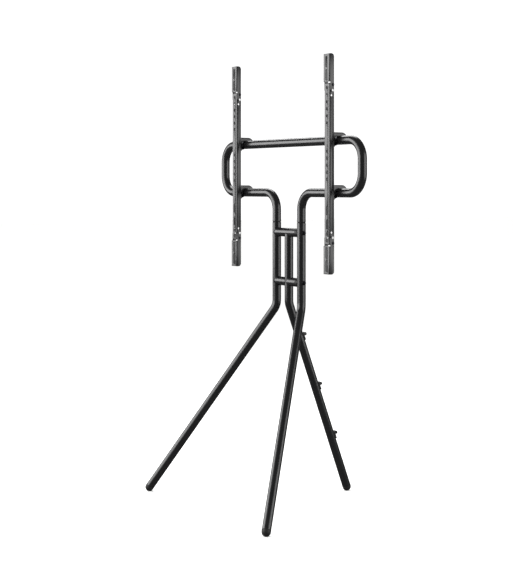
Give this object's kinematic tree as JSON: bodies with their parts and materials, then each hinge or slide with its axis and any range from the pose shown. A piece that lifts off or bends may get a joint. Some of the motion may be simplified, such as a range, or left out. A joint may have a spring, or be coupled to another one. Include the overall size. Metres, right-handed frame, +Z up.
{
  "type": "tripod screen stand",
  "caption": "Tripod floor stand of bent steel tube for a flat screen, with a tube loop on top and two sliding slotted rails whose end arms fold back.",
  "frame": {"origin": "on the floor, in the middle of the rectangle that the three feet span", "axes": "+Z up, +X to the right seen from the front, +Y to the rear, so the rails face -Y"},
  "size_m": [0.746, 0.539, 1.313],
  "materials": {
    "tube_black": "black powder coat, satin",
    "sheet_black": "black powder coat, satin, on folded sheet steel",
    "moulded_black": "moulded nylon, matt",
    "foot_rubber": "moulded rubber, matt",
    "screw_black": "black oxide",
    "plain_steel": "turned, zinc plated"
  },
  "bodies": {
    "stand": {"cable_clip_screws": "screw_black", "crossbar_washers": "screw_black", "front_left_leg": "tube_black", "front_right_leg": "tube_black", "joint_lock_screws": "screw_black", "left_foot_cap": "foot_rubber", "left_joint_ring": "moulded_black", "left_joint_sleeve": "plain_steel", "lower_cable_clip": "moulded_black", "lower_crossbar_bolt": "screw_black", "lower_crossbar_collar": "moulded_black", "lower_crossbar_insert": "plain_steel", "lower_crossbar_left": "tube_black", "lower_crossbar_right": "tube_black", "middle_cable_clip": "moulded_black", "rear_foot_cap": "foot_rubber", "rear_leg": "tube_black", "right_foot_cap": "foot_rubber", "right_joint_ring": "moulded_black", "right_joint_sleeve": "plain_steel", "upper_cable_clip": "moulded_black", "upper_crossbar": "tube_black", "upper_crossbar_bolt": "screw_black", "upper_crossbar_collar": "moulded_black", "upper_crossbar_insert": "plain_steel", "upper_loop_frame": "tube_black"},
    "left_rail_set": {"left_hinge_pins": "screw_black", "left_hook_rivets": "plain_steel", "left_lock_bolts": "screw_black", "left_lock_nuts": "screw_black", "left_lower_hook": "sheet_black", "left_rail": "sheet_black", "left_upper_hook": "sheet_black"},
    "right_rail_set": {"right_hinge_pins": "screw_black", "right_hook_rivets": "plain_steel", "right_lock_bolts": "screw_black", "right_lock_nuts": "screw_black", "right_lower_hook": "sheet_black", "right_rail": "sheet_black", "right_upper_hook": "sheet_black"},
    "left_lower_extension": {"left_lower_arm": "sheet_black"},
    "left_upper_extension": {"left_upper_arm": "sheet_black"},
    "right_lower_extension": {"right_lower_arm": "sheet_black"},
    "right_upper_extension": {"right_upper_arm": "sheet_black"}
  },
  "joints": [
    {"name": "left_rail_slide", "type": "slide", "parent": "stand", "child": "left_rail_set", "axis": [1, 0, 0], "range_m": [-0.0445, 0.115]},
    {"name": "right_rail_slide", "type": "slide", "parent": "stand", "child": "right_rail_set", "axis": [1, 0, 0], "range_m": [-0.115, 0.0445]},
    {"name": "left_upper_fold", "type": "hinge", "parent": "left_rail_set", "child": "left_upper_extension", "pos_m": [-0.2455, 0.0127, 1.2248], "axis": [-1, 0, 0], "range_deg": [0, 180]},
    {"name": "left_lower_fold", "type": "hinge", "parent": "left_rail_set", "child": "left_lower_extension", "pos_m": [-0.2455, 0.0127, 0.7762], "axis": [1, 0, 0], "range_deg": [0, 180]},
    {"name": "right_upper_fold", "type": "hinge", "parent": "right_rail_set", "child": "right_upper_extension", "pos_m": [0.2455, 0.0127, 1.2248], "axis": [-1, 0, 0], "range_deg": [0, 180]},
    {"name": "right_lower_fold", "type": "hinge", "parent": "right_rail_set", "child": "right_lower_extension", "pos_m": [0.2455, 0.0127, 0.7762], "axis": [1, 0, 0], "range_deg": [0, 180]}
  ]
}
